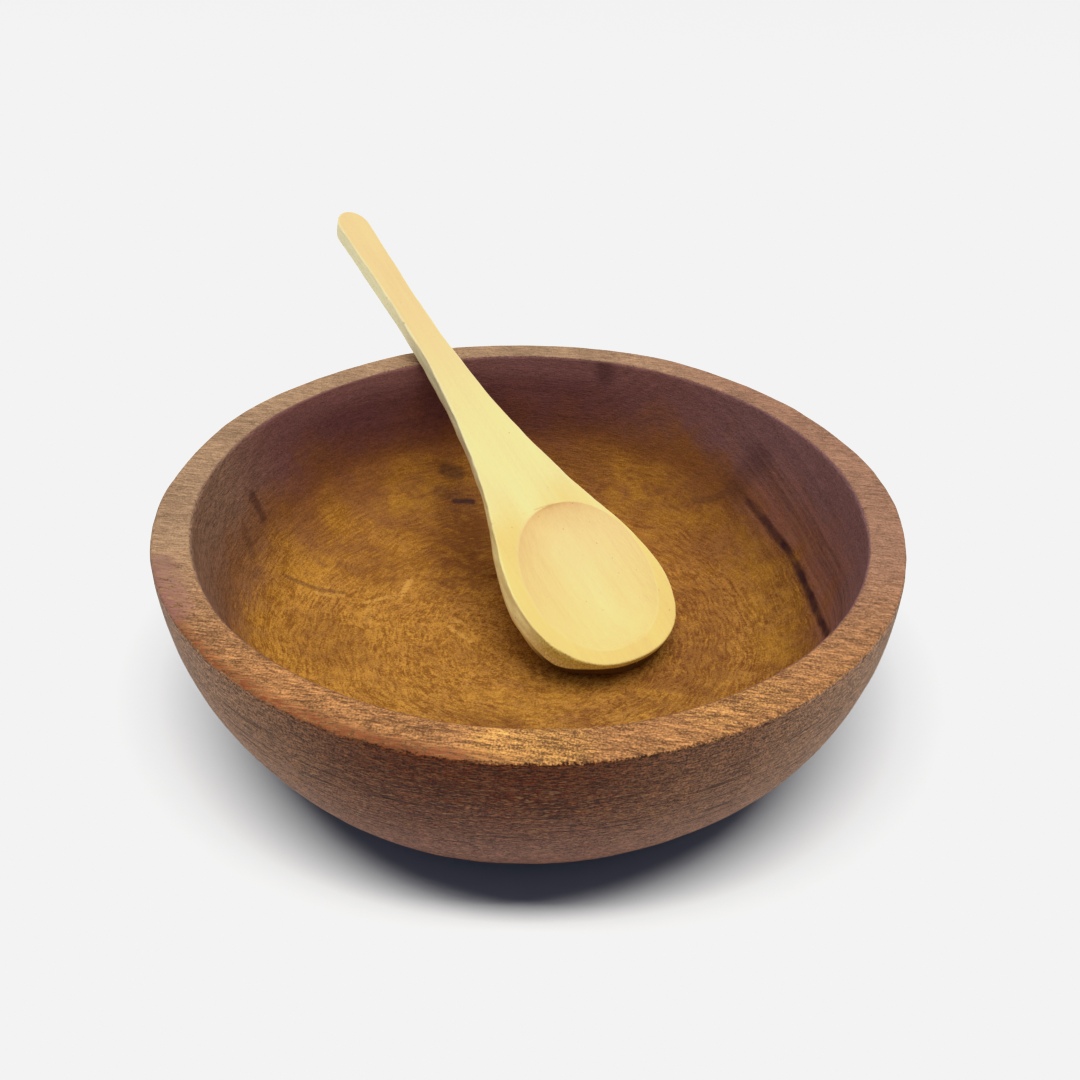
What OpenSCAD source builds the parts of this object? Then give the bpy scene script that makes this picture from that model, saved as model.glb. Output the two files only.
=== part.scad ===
// Turned wooden dipping bowl with a carved wooden spoon resting in it.
// Origin at the centre of the bowl's flat base, +Z up, +X to the viewer's right, millimetres.

/* [Bowl] */
// Diameter over the widest line of the outer wall
bowl_d = 130; // [110:1:160]
// Height from the flat base to the top of the rim
bowl_h = 42; // [36:0.5:60]
// Diameter at which the outer wall's curve meets the table
base_d = 90; // [70:1:100]
// Width of the flat rim, from the outer wall to the mouth
rim_w = 6.5; // [4.5:0.1:9]
// Depth of the widest line below the rim
brow = 2; // [1.5:0.1:4]
// Thickness of the floor at its centre
floor_t = 9.5; // [6:0.1:14]
// Lean of the inner wall from the upright, in degrees
wall_lean = 12; // [6:0.5:18]
// Radius of the cove between the inner wall and the floor
cove_r = 17; // [12:0.5:20]
// Rise of the dished floor from its centre outwards, in degrees
floor_dish = 2; // [0:0.5:4]
// Radius of the softened arrises of the rim
arris_r = 0.8; // [0.4:0.1:1.5]
// Radius of the edge round the base
foot_r = 3; // [1:0.5:6]

/* [Spoon plan] */
// Length from the tip of the head to the end of the handle
spoon_l = 129; // [115:1:170]
// Width of the head at its widest point
head_w = 31.5; // [24:0.5:38]
// Distance from the tip to the widest point of the head
head_at = 17; // [14:0.5:20]
// Width of the neck behind the scoop
neck_w = 18.8; // [14:0.2:22]
// Distance from the tip to the neck
neck_at = 43; // [38:0.5:50]
// Width of the handle at its slimmest point
grip_w = 6.4; // [5:0.1:9]
// Distance from the tip to the slimmest point of the handle
grip_at = 96; // [80:1:104]
// Width of the handle near its end
end_w = 7.3; // [5.5:0.1:10]
// Length of the handle's rounded end
end_l = 5; // [3:0.5:8]

/* [Spoon thickness] */
// Height of the side face round the tip
tip_side = 2.8; // [1:0.1:4]
// Height of the side face at the widest point of the head
head_side = 4.4; // [1:0.1:5.5]
// Height of the side face at the neck
neck_side = 1.5; // [0.6:0.1:2.5]
// Height of the side face along the handle
grip_side = 3.4; // [2:0.1:5]
// Depth of the rounded underside below the side face at the head
head_belly = 5.6; // [4:0.1:8]
// Depth of the rounded underside below the side face at the neck
neck_belly = 4.6; // [2:0.1:5.5]
// Depth of the rounded underside below the side face along the handle
grip_belly = 1; // [0.4:0.1:2]

/* [Scoop] */
// Length of the scoop
scoop_l = 33.6; // [28:0.2:34]
// Width of the scoop
scoop_w = 26.4; // [20:0.2:27]
// Depth of the scoop below the flat top
scoop_depth = 4; // [2:0.1:5]
// Width of the lip between the tip and the scoop
scoop_lip = 3; // [2:0.1:4]
// Sideways shift of the scoop from the spoon's centre line, towards the right
scoop_shift = 0.8; // [0:0.1:1]
// Turn of the scoop from the spoon's centre line, in degrees
scoop_turn = 5.5; // [0:0.5:7]

/* [Seat] */
// Direction of the handle, in degrees from +X
spoon_turn = 123.5; // [90:0.5:150]
// Distance from the bowl's axis to the upright plane of the spoon's centre line
spoon_offset = 10.7; // [0:0.1:14]
// Distance from the bowl's axis to the tip, along the spoon
tip_reach = 21; // [10:0.5:24]
// Gap left where the spoon rests on the floor and on the rim
seat_gap = 0.25; // [0.1:0.05:0.5]

/* [Hidden] */
$fn = 96;
// Steps along each arc of the bowl's outline
ARC_STEPS = 24;
// Steps along each arris of the rim and the base edge
ARRIS_STEPS = 6;
// Bluntness of the spoon's tip and of the scoop's ends, 2 being an ellipse
TIP_POWER = 2.25;
SCOOP_POWER = 2.1;
// How much steeper the outline is at the neck than the mean line from head to handle
NECK_STEEP = 1.65;
// Width of the flat left at the two ends of the spoon, where the facets close
BUTT = 0.04;
// Rounds of halving that find the spoon's tilt, and the tilts between which it lies
TILT_ROUNDS = 22;
TILT_LOW = 2;
TILT_HIGH = 60;

// Points from angle a to angle b on a circle about c
function arc(c, r, a, b, steps) =
    [for (i = [0:steps]) let (t = a + (b - a) * i / steps) c + r * [cos(t), sin(t)]];

// Outer wall of the bowl: one arc, upright at the brow, through the base's edge
bowl_r = bowl_d / 2;
wall_drop = bowl_r - base_d / 2;
wall_rise = bowl_h - brow;
wall_r = (wall_drop ^ 2 + wall_rise ^ 2) / (2 * wall_drop);
wall_c = [bowl_r - wall_r, wall_rise];

// Centre of a small arc inside the wall's arc, at height z and tangent to it
function wall_fillet(r, z) = [wall_c.x + sqrt((wall_r - r) ^ 2 - (z - wall_c.y) ^ 2), z];
rim_c = wall_fillet(arris_r, bowl_h - arris_r);
foot_c = wall_fillet(foot_r, foot_r);
function wall_angle(c) = atan2(c.y - wall_c.y, c.x - wall_c.x);

// Inside of the bowl: a leaning wall, a cove and a dished floor, tangent to each other
mouth_r = bowl_r - rim_w;
cove_x = (cos(wall_lean) * mouth_r + sin(wall_lean) * (floor_t + cove_r / cos(floor_dish) - bowl_h) - cove_r)
    / (cos(wall_lean) - sin(wall_lean) * tan(floor_dish));
cove_c = [cove_x, floor_t + (cove_r + sin(floor_dish) * cove_x) / cos(floor_dish)];
lip_c = [mouth_r + arris_r * (1 - sin(wall_lean)) / cos(wall_lean), bowl_h - arris_r];

// Height of the bowl's inside at distance r from its axis
function inside_z(r) =
    r < cove_c.x + cove_r * sin(floor_dish) ? floor_t + r * tan(floor_dish)
    : r < cove_c.x + cove_r * cos(wall_lean) ? cove_c.y - sqrt(cove_r ^ 2 - (r - cove_c.x) ^ 2)
    : bowl_h - (mouth_r - r) / tan(wall_lean);

// Cubic from the point a to the point b, with slopes ma and mb, at x
function cubic(a, ma, b, mb, x) =
    let (l = b.x - a.x, t = (x - a.x) / l)
    a.y * (1 - t) ^ 2 * (1 + 2 * t) + b.y * t ^ 2 * (3 - 2 * t) + l * t * (1 - t) * (ma * (1 - t) - mb * t);

// Share of an egg's full width at distance q from its middle, where 1 is its end
function egg(q, power) = max(1 - abs(q) ^ power, 0) ^ (1 / power);

// Half the spoon's width at distance x from its tip
neck_slope = NECK_STEEP * (grip_w - head_w) / 2 / (grip_at - head_at);
end_at = spoon_l - end_l;
function half_w(x) =
    x < head_at ? head_w / 2 * egg(1 - x / head_at, TIP_POWER)
    : x < neck_at ? cubic([head_at, head_w / 2], 0, [neck_at, neck_w / 2], neck_slope, x)
    : x < grip_at ? cubic([neck_at, neck_w / 2], neck_slope, [grip_at, grip_w / 2], 0, x)
    : x < end_at ? cubic([grip_at, grip_w / 2], 0, [end_at, end_w / 2], 0, x)
    : end_w / 2 * egg((x - end_at) / end_l, 2);

// Height of the spoon's side face at x
function side_h(x) =
    x < head_at ? cubic([0, tip_side], 0, [head_at, head_side], 0, x)
    : x < neck_at ? cubic([head_at, head_side], 0, [neck_at, neck_side], 0, x)
    : x < grip_at ? cubic([neck_at, neck_side], 0, [grip_at, grip_side], 0, x)
    : grip_side;

// Depth of the rounded underside below the side face at x, on the centre line
function belly_d(x) =
    x < head_at ? head_belly * egg(1 - x / head_at, 2)
    : x < neck_at ? cubic([head_at, head_belly], 0, [neck_at, neck_belly], 0, x)
    : x < grip_at ? cubic([neck_at, neck_belly], 0, [grip_at, grip_belly], 0, x)
    : x < end_at ? grip_belly
    : grip_belly * egg((x - end_at) / end_l, 2);

// Depth of the underside below the flat top at x and at the share v of the half width
function under(x, v) = side_h(x) + belly_d(x) * sqrt(1 - v ^ 2);

// The spoon lies tilted between two rests: its head on the bowl's floor and its handle on the lip.
// Heights are for the tip's top edge, and each is the least that keeps the gap at that tilt.
HEAD_X = [for (i = [0:40]) BUTT + (neck_at - BUTT) * (i / 40) ^ 1.5];
SHARES = [for (i = [-4:4]) i / 5];
function rest_on_floor(tilt) = max([
    for (x = HEAD_X, v = SHARES)
        let (d = under(x, v), y = half_w(x) * v + spoon_offset)
        let (along = x * cos(tilt) + d * sin(tilt) - tip_reach)
        inside_z(min(norm([along, y]), mouth_r)) + seat_gap - x * sin(tilt) + d * cos(tilt)
]);
function rest_on_lip(tilt) = max([
    for (v = SHARES, p = arc(lip_c, arris_r, 90, 180 - wall_lean, ARRIS_STEPS))
        let (y = grip_w / 2 * v + spoon_offset, run = sqrt(p.x ^ 2 - y ^ 2) + tip_reach)
        let (d = under((run - grip_side * sin(tilt)) / cos(tilt), v))
        let (x = (run - d * sin(tilt)) / cos(tilt))
        p.y + seat_gap - x * sin(tilt) + d * cos(tilt)
]);
function rest_tilt(low, high, rounds) =
    let (mid = (low + high) / 2)
    rounds < 1 ? mid
    : rest_on_lip(mid) > rest_on_floor(mid) ? rest_tilt(mid, high, rounds - 1)
    : rest_tilt(low, mid, rounds - 1);
spoon_tilt = rest_tilt(TILT_LOW, TILT_HIGH, TILT_ROUNDS);
tip_z = rest_on_floor(spoon_tilt);

// Cross-sections of the spoon, from the tip to the end of the handle
scoop_mid = scoop_lip + scoop_l / 2;
scoop_end = scoop_lip + scoop_l;
function between(a, b, steps) = [for (i = [1:steps]) a + (b - a) * i / steps];
SECTION_X = concat(
    [for (t = between(0, 1, 6)) BUTT + (scoop_lip - 2 * BUTT) * t ^ 2],
    [for (t = between(-88, 88, 26)) scoop_mid + scoop_l / 2 * sin(t)],
    between(scoop_end, grip_at, 16),
    between(grip_at, end_at, 5),
    [for (t = between(0, 1, 7)) end_at + (end_l - BUTT) * sin(90 * t)]
);

// Half the scoop's width at x, or a share of the spoon's half width where there is no scoop
PLAIN_SHARE = 0.4;
function scoop_half(x) =
    x > scoop_lip && x < scoop_end ? scoop_w / 2 * egg((x - scoop_mid) / (scoop_l / 2), SCOOP_POWER)
    : PLAIN_SHARE * half_w(x);

// Depth of the scoop at x and at the share v of its half width
function scoop_z(x, v) =
    x > scoop_lip && x < scoop_end ? -scoop_depth * (1 - v ^ 2) * egg((x - scoop_mid) / (scoop_l / 2), 2) ^ 1.5 : 0;

// One closed section, seen from the tip: the top with its scoop from left to right, then the underside
TOP_SHARES = [for (i = [-5:5]) sin(90 * i / 5)];
UNDER_ANGLES = [for (i = [0:10]) 180 * i / 10];
function shift(x) = x > scoop_lip && x < scoop_end ? scoop_shift + (x - scoop_mid) * tan(scoop_turn) : 0;
function section(x) = concat(
    [[x, half_w(x), 0]],
    [for (v = TOP_SHARES) [x, -v * scoop_half(x) - shift(x), scoop_z(x, v)]],
    [[x, -half_w(x), 0]],
    [for (a = UNDER_ANGLES) [x, -half_w(x) * cos(a), -side_h(x) - belly_d(x) * sin(a)]]
);

// Skin over a row of closed sections with the same number of points, closed at each end by a fan
// about the middle of the end section
module loft(sections) {
    n = len(sections[0]);
    last = len(sections) - 1;
    function id(i, j) = i * n + j % n;
    function middle(points) = [for (p = points) 1] * points / len(points);
    near_mid = (last + 1) * n;
    far_mid = near_mid + 1;
    sides = [
        for (i = [0:last - 1], j = [0:n - 1], half = [0, 1])
            half == 0 ? [id(i, j), id(i, j + 1), id(i + 1, j)] : [id(i, j + 1), id(i + 1, j + 1), id(i + 1, j)]
    ];
    near_end = [for (j = [0:n - 1]) [near_mid, id(0, j + 1), id(0, j)]];
    far_end = [for (j = [0:n - 1]) [far_mid, id(last, j), id(last, j + 1)]];
    points = concat([for (s = sections, p = s) p], [middle(sections[0]), middle(sections[last])]);
    polyhedron(points, concat(sides, near_end, far_end));
}

// Bowl turned from one block, with a flat rim, a coved inside and a flat base
module bowl() {
    color("sienna")
    rotate_extrude()
    polygon(concat(
        [[0, 0], [0, floor_t]],
        arc(cove_c, cove_r, floor_dish - 90, -wall_lean, ARC_STEPS),
        arc(lip_c, arris_r, 180 - wall_lean, 90, ARRIS_STEPS),
        arc(rim_c, arris_r, 90, wall_angle(rim_c), ARRIS_STEPS),
        arc(wall_c, wall_r, wall_angle(rim_c), wall_angle(foot_c), ARC_STEPS),
        arc(foot_c, foot_r, wall_angle(foot_c), -90, ARRIS_STEPS)
    ));
}

// Spoon carved from one piece, laid on the bowl's floor and lip
module spoon() {
    color("burlywood")
    rotate([0, 0, spoon_turn])
    translate([-tip_reach, -spoon_offset, tip_z])
    rotate([0, -spoon_tilt, 0])
    loft([for (x = SECTION_X) section(x)]);
}

bowl();
spoon();
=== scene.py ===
"""Turned wooden dipping bowl with a carved spoon lying in it: fine surfaces and wood finishes."""
import math
from functools import reduce

import bpy
import numpy as np
from bpy.props import FloatProperty, FloatVectorProperty, PointerProperty
from mathutils import Matrix, Vector


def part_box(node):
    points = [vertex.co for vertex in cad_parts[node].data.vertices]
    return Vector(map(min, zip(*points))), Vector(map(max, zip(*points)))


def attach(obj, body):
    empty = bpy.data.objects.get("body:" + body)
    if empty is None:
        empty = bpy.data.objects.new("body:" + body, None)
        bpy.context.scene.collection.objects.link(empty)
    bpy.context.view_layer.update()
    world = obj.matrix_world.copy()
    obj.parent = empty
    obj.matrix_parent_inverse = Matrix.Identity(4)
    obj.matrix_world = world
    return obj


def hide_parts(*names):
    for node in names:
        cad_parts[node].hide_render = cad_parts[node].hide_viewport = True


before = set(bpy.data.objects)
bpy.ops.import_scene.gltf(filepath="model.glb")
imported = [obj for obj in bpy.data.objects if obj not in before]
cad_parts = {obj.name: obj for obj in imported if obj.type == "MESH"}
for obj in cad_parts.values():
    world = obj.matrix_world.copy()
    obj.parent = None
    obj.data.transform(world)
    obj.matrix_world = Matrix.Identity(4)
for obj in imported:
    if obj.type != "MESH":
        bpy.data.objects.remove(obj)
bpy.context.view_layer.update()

BOWL_LOW, BOWL_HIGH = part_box("bowl")

bl_info = {
    "name": "Dipping bowl and spoon",
    "version": (1, 0, 0),
    "blender": (4, 5, 0),
    "location": "View3D > Sidebar > Bowl",
    "description": "Builds a turned wooden dipping bowl, its carved spoon and a plain studio",
    "category": "Add Mesh",
}

MM = 0.001
# Seed of the hand-made unevenness
SEED = 7


def paint(red, green, blue):
    """An 8-bit sRGB colour as the linear colour that a shader takes."""
    shares = np.array([red, green, blue]) / 255
    return tuple(np.where(shares <= 0.04045, shares / 12.92, ((shares + 0.055) / 1.055) ** 2.4).tolist())


def length(name, description, metres):
    """A size in metres that a user may change."""
    return FloatProperty(name=name, description=description, default=metres, unit="LENGTH", precision=5)


def angle(name, description, degrees):
    """An angle that a user may change, given in degrees and kept in radians."""
    return FloatProperty(name=name, description=description, default=math.radians(degrees), subtype="ANGLE")


def number(name, description, value):
    """A plain number that a user may change."""
    return FloatProperty(name=name, description=description, default=value)


def colour(name, description, value):
    """A linear colour that a user may change."""
    return FloatVectorProperty(
        name=name, description=description, default=value, subtype="COLOR", size=3, min=0, max=1
    )


# Settings


class BowlSettings(bpy.types.PropertyGroup):
    """Sizes and colours of the bowl."""

    diameter: length("Diameter", "Over the widest line of the outer wall", BOWL_HIGH.x - BOWL_LOW.x)
    height: length("Height", "From the flat base to the rim", BOWL_HIGH.z - BOWL_LOW.z)
    base: length("Base", "Diameter at which the wall's curve meets the table", 0.090)
    rim: length("Rim", "Width of the flat rim", 0.0065)
    brow: length("Brow", "Depth of the widest line below the rim", 0.002)
    floor: length("Floor", "Thickness of the floor at its centre", 0.0095)
    lean: angle("Lean", "Lean of the inner wall from the upright", 12)
    cove: length("Cove", "Radius between the inner wall and the floor", 0.017)
    dish: angle("Dish", "Rise of the floor from its centre outwards", 2)
    arris: length("Arris", "Radius of the rim's two edges", 0.0008)
    foot: length("Foot", "Radius of the edge round the base", 0.003)
    fibre: angle("Fibre", "Turn of the wood's fibres from the X axis", -9)

    floor_gold: colour("Floor gold", "Golden wood of the floor", paint(176, 118, 34))
    floor_brown: colour("Floor brown", "Darker figure in the floor", paint(130, 74, 24))
    floor_light: colour("Floor light", "Light strokes in the floor's figure", paint(204, 149, 68))
    floor_yellow: colour("Floor yellow", "Golden patches of the floor", paint(192, 135, 45))
    floor_dark: colour("Floor dark", "Dark patches of the floor", paint(104, 55, 19))
    wall_brown: colour("Wall brown", "Reddish wood of the inner wall", paint(142, 90, 48))
    wall_plum: colour("Wall plum", "Wood between the seam and the rim", paint(147, 98, 87))
    wall_purple: colour("Wall purple", "Dark wood along the top of the inner wall", paint(124, 80, 74))
    wall_mauve: colour("Wall mauve", "Wood along the top of the inner wall on the right", paint(133, 94, 92))
    # Painted shade: this colour darkens the back of the inner wall towards the left, where shade falls
    wall_painted_shade: colour("Wall dark", "Dark wood of the inner wall at the back", paint(84, 40, 40))
    wall_olive: colour("Wall olive", "Wood along the top of the inner wall on the left", paint(138, 104, 82))
    rim_tan: colour("Rim tan", "Wood of the rim on the left and at the back", paint(160, 126, 94))
    rim_pink: colour("Rim pink", "Wood of the rim on the right", paint(153, 111, 85))
    rim_warm: colour("Rim warm", "Wood of the rim at the front", paint(165, 113, 66))
    rim_gold: colour("Rim gold", "Golden patches of the rim at the front", paint(200, 143, 74))
    rim_red: colour("Rim red", "Torn fibres along the rim's outer edge", paint(128, 58, 30))
    rim_dash: colour("Rim dash", "Short dark pores of the rim", paint(100, 56, 32))
    stain: colour("Stain", "Purple stain on the rim", paint(140, 92, 92))
    dark: colour("Dark", "Dark lines and marks", paint(62, 34, 36))
    # The outer wall's tone under the rim, painted darker there as painted shade
    outer_dark_and_painted_shade: colour("Outer dark", "Outer wall under the rim", paint(76, 32, 9))
    outer_low: colour("Outer low", "Outer wall towards the table", paint(107, 70, 59))
    # Painted light: the outer wall's two sides are painted paler where they catch more light
    outer_sides_painted_light: colour("Outer side", "End grain of the outer wall at the two sides", paint(152, 116, 87))
    outer_hair: colour("Outer hair", "Pale torn fibres on the outer wall", paint(176, 130, 84))
    outer_dash: colour("Outer dash", "Dark pores of the outer wall", paint(44, 20, 12))


class SpoonSettings(bpy.types.PropertyGroup):
    """Sizes and colours of the spoon."""

    length: length("Length", "From the tip of the head to the end of the handle", 0.129)
    head_w: length("Head width", "At the widest point of the head", 0.0315)
    head_at: length("Head place", "From the tip to the widest point", 0.017)
    neck_w: length("Neck width", "Behind the scoop", 0.0188)
    neck_at: length("Neck place", "From the tip to the neck", 0.043)
    grip_w: length("Grip width", "At the slimmest point of the handle", 0.0064)
    grip_at: length("Grip place", "From the tip to the slimmest point", 0.096)
    end_w: length("End width", "Of the handle near its end", 0.0073)
    end_l: length("End length", "Of the handle's rounded end", 0.005)
    tip_side: length("Tip side", "Height of the side face round the tip", 0.0028)
    head_side: length("Head side", "Height of the side face at the widest point", 0.0044)
    neck_side: length("Neck side", "Height of the side face at the neck", 0.0015)
    grip_side: length("Grip side", "Height of the side face along the handle", 0.0034)
    head_belly: length("Head belly", "Depth of the rounded underside at the head", 0.0056)
    neck_belly: length("Neck belly", "Depth of the rounded underside at the neck", 0.0046)
    grip_belly: length("Grip belly", "Depth of the rounded underside along the handle", 0.001)
    scoop_l: length("Scoop length", "Of the scoop", 0.0336)
    scoop_w: length("Scoop width", "Of the scoop", 0.0264)
    scoop_depth: length("Scoop depth", "Below the flat top", 0.004)
    scoop_lip: length("Scoop lip", "Between the tip and the scoop", 0.003)
    scoop_shift: length("Scoop shift", "From the centre line, towards the right", 0.0008)
    scoop_turn: angle("Scoop turn", "From the centre line", 5.5)
    turn: angle("Turn", "Direction of the handle from the X axis", 123.5)
    tilt: angle("Tilt", "Rise of the handle", 22.1919)
    offset: length("Offset", "From the bowl's axis to the spoon's upright plane", 0.0107)
    reach: length("Reach", "From the bowl's axis to the tip, along the spoon", 0.021)
    tip_z: length("Tip height", "Of the tip's top edge", 0.0150416)
    edge: length("Edge", "Radius of the softened edge round the top", 0.0004)
    chin: length("Chin", "Height of the side face at the tip", 0.0011)
    cheek: length("Cheek", "Height of the left side face where it is tallest, near the tip", 0.0042)
    rest: length("Rest", "Depth below the tip of the level that nothing reaches under", 0.00515)
    trim: length("Trim", "Taken off the height of the left side face at the head", 0.0014)
    flare: length("Flare", "How far the left side face leans out at the head", 0.0007)

    cream: colour("Cream", "Flat top at the neck", paint(234, 206, 133))
    honey: colour("Honey", "Lips round the scoop", paint(236, 195, 108))
    straw: colour("Straw", "Handle", paint(232, 189, 125))
    # Painted light: the scoop's upper end is painted lighter than its lower end to offset the shade that falls
    # there
    scoop_upper_painted_light: colour("Scoop tan", "Upper end of the scoop", paint(242, 201, 132))
    scoop_pale: colour("Scoop pale", "Lower end of the scoop", paint(236, 199, 123))
    # Painted light: the two side colours are paler than the top to make up for the light that the side faces
    # miss
    side_tan_painted_light: colour("Side tan", "Side faces and underside of the head", paint(255, 234, 158))
    side_cream_painted_light: colour("Side cream", "Side faces of the handle", paint(250, 236, 182))
    # The chin's olive end grain, painted lighter as painted light for the shade that the chin sits in
    chin_olive_painted_light: colour("Chin olive", "End grain of the chin", paint(222, 200, 104))
    # Painted shade: the dark band on the underside below the chin stands in for the shadow where the spoon lies
    # on the bowl's floor
    chin_painted_shade: colour("Chin brown", "Band below the chin", paint(80, 54, 26))
    speck: colour("Speck", "Tiny dark specks", paint(140, 100, 60))


class StageSettings(bpy.types.PropertyGroup):
    """Camera and light of the plain studio."""

    elevation: angle("Elevation", "Camera's height above the horizon", 34.27)
    distance: length("Distance", "From the camera to the point that it looks at", 0.2009)
    aim_x: length("Aim X", "Point that the camera looks at", 0.00173)
    aim_z: length("Aim Z", "Height of the point that the camera looks at", 0.03261)
    roll: angle("Roll", "Turn of the camera about its own axis", 1.49)
    lens: number("Lens", "Focal length in millimetres", 36.667)
    floor_tone: colour("Floor tone", "Pale table, under a strong light", (0.200, 0.224, 0.300))
    sky: colour("Sky", "Soft fill from all round", (0.75, 0.86, 1.0))
    fill: number("Fill", "Strength of the soft fill", 0.36)
    key: number("Key", "Strength of the broad light", 2.45)
    key_tilt: angle("Key tilt", "Slant of the broad light from straight above", 14)
    key_heading: angle("Key heading", "Side that the broad light comes from, round from the X axis", 55)
    key_spread: angle("Key spread", "Width of the broad light in the sky", 52)
    front: number("Front light", "Strength of the soft light from the front", 0.95)
    front_tilt: angle("Front light tilt", "Slant of the front light from straight above", 42)
    front_spread: angle("Front light spread", "Width of the front light in the sky", 70)
    table: number("Table light", "Power of the panel over the table alone", 9000)
    table_tone: colour("Table light tone", "Colour of the panel over the table", (1.0, 0.875, 0.63))
    table_height: length("Table light height", "Of the panel over the table", 12)
    table_width: length("Table light width", "Of the panel, from left to right", 11.3)
    table_depth: length("Table light depth", "Of the panel, from front to back", 2.3)
    table_front: length("Table light place", "Of the panel, to the front", 2.84)
    table_left: length("Table light side", "Of the panel, to the left", 0.25)
    white: number("White", "Brightness at which the pale table is held", 0.896)
    knee: number("Knee", "Share of the white above which tones level out", 0.9)


# Surfaces


def ripple(points, pitch, seed, waves=24):
    """Smooth noise of mean 0 and spread 1: a sum of plane waves, with seeded directions and phases,
    whose lengths are near the pitch."""
    draw = np.random.default_rng(SEED + seed)
    heading = draw.normal(size=(waves, 3))
    heading /= np.linalg.norm(heading, axis=1, keepdims=True)
    wave_number = 2 * np.pi / pitch * draw.uniform(0.6, 1.6, (waves, 1))
    phase = draw.uniform(0, 2 * np.pi, waves)
    return np.sin(points @ (heading * wave_number).T + phase).sum(axis=-1) * math.sqrt(2 / waves)


def ease(low, high, x):
    """Smooth step: 0 below low, 1 above high, 3t^2 - 2t^3 between them."""
    t = np.clip((x - low) / (high - low), 0, 1)
    return t * t * (3 - 2 * t)


def add_piece(name, rows, near, far, marks, material):
    """A closed mesh over rows of points that each go once round, with a fan to the point near before the
    first row and to the point far after the last. Marks are values at the points, by name."""
    count, around = rows.shape[:2]
    i, j = np.meshgrid(np.arange(count - 1), np.arange(around), indexing="ij")
    k = (j + 1) % around
    quads = np.stack([i * around + j, (i + 1) * around + j, (i + 1) * around + k, i * around + k], -1)
    ring = np.arange(around)
    after = (ring + 1) % around
    last = (count - 1) * around
    near_id = np.full(around, count * around)
    fans = np.concatenate(
        [np.stack([near_id, ring, after], -1), np.stack([near_id + 1, last + after, last + ring], -1)]
    )
    points = np.concatenate([rows.reshape(-1, 3), [near, far]])
    mesh = bpy.data.meshes.new(name)
    mesh.from_pydata(points.tolist(), [], quads.reshape(-1, 4).tolist() + fans.tolist())
    mesh.shade_smooth()
    for mark, values in marks.items():
        ends = [values[0].mean(axis=0), values[-1].mean(axis=0)]
        kind, field = ("FLOAT", "value") if values.ndim == 2 else ("FLOAT_VECTOR", "vector")
        flat = np.concatenate([values.reshape(count * around, -1), np.reshape(ends, (2, -1))])
        mesh.attributes.new(mark, kind, "POINT").data.foreach_set(field, flat.astype(np.float32).ravel())
    mesh.materials.append(material)
    if mesh.validate():
        raise RuntimeError(f"the mesh of {name} has faults")
    piece = bpy.data.objects.new(name, mesh)
    bpy.context.scene.collection.objects.link(piece)
    return piece


# Bowl


def arc(centre, radius, start, stop, steps):
    """Points on a circle about the centre, from angle start to angle stop."""
    t = np.linspace(start, stop, steps)
    return np.stack([centre[0] + radius * np.cos(t), centre[1] + radius * np.sin(t)], -1)


# Points along the floor, cove, wall, lip, rim, brink, outer wall, foot and base
FLOOR_STEPS, COVE_STEPS, WALL_STEPS, LIP_STEPS, RIM_STEPS = 26, 40, 26, 9, 20
BRINK_STEPS, OUTER_STEPS, FOOT_STEPS, BASE_STEPS = 9, 50, 8, 6


def bowl_outline(s):
    """Half section of the bowl as (distance from the axis, height), from the middle of the floor over the
    rim to the middle of the base: a dished floor, a cove, a leaning wall, a flat rim between two small
    arcs, one wide arc down to the foot's arc, and the base. Also where each stretch starts."""
    radius = s.diameter / 2
    drop, rise = radius - s.base / 2, s.height - s.brow
    wall = (drop**2 + rise**2) / (2 * drop)
    wall_x = radius - wall

    def inside_wall(r, z):
        return np.array([wall_x + math.sqrt((wall - r) ** 2 - (z - rise) ** 2), z])

    def wall_angle(c):
        return math.atan2(c[1] - rise, c[0] - wall_x)

    rim_c = inside_wall(s.arris, s.height - s.arris)
    foot_c = inside_wall(s.foot, s.foot)
    mouth = radius - s.rim
    cos, sin = math.cos(s.lean), math.sin(s.lean)
    cove_x = (cos * mouth + sin * (s.floor + s.cove / math.cos(s.dish) - s.height) - s.cove) / (
        cos - sin * math.tan(s.dish)
    )
    cove_c = np.array([cove_x, s.floor + (s.cove + math.sin(s.dish) * cove_x) / math.cos(s.dish)])
    lip_c = np.array([mouth + s.arris * (1 - sin) / cos, s.height - s.arris])
    quarter = math.pi / 2
    cove = arc(cove_c, s.cove, s.dish - quarter, -s.lean, COVE_STEPS)
    lip = arc(lip_c, s.arris, math.pi - s.lean, quarter, LIP_STEPS)
    brink = arc(rim_c, s.arris, quarter, wall_angle(rim_c), BRINK_STEPS)
    outer = arc((wall_x, rise), wall, wall_angle(rim_c), wall_angle(foot_c), OUTER_STEPS)
    foot = arc(foot_c, s.foot, wall_angle(foot_c), -quarter, FOOT_STEPS)
    middle, under = np.array([0, s.floor]), np.array([0, 0])
    stretches = [
        np.linspace(middle, cove[0], FLOOR_STEPS)[1:-1],
        cove,
        np.linspace(cove[-1], lip[0], WALL_STEPS)[1:-1],
        lip,
        np.linspace(lip[-1], brink[0], RIM_STEPS)[1:-1],
        brink,
        outer[1:],
        foot[1:],
        np.linspace(foot[-1], under, BASE_STEPS)[1:-1],
    ]
    starts = np.cumsum([0] + [len(p) for p in stretches])
    return np.concatenate(stretches), starts


# Places of the lip, the flat rim, the brink and the outer wall among the outline's stretches
LIP, RIM, BRINK, OUTER = 3, 4, 5, 6
BOWL_STEPS = 500
# Depth and pitch of the hand-turned unevenness of the wall, broad and fine
BOWL_SWAY, SWAY_PITCH = 0.10 * MM, 40 * MM
BOWL_RIPPLE, RIPPLE_PITCH = 0.02 * MM, 7 * MM
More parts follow.
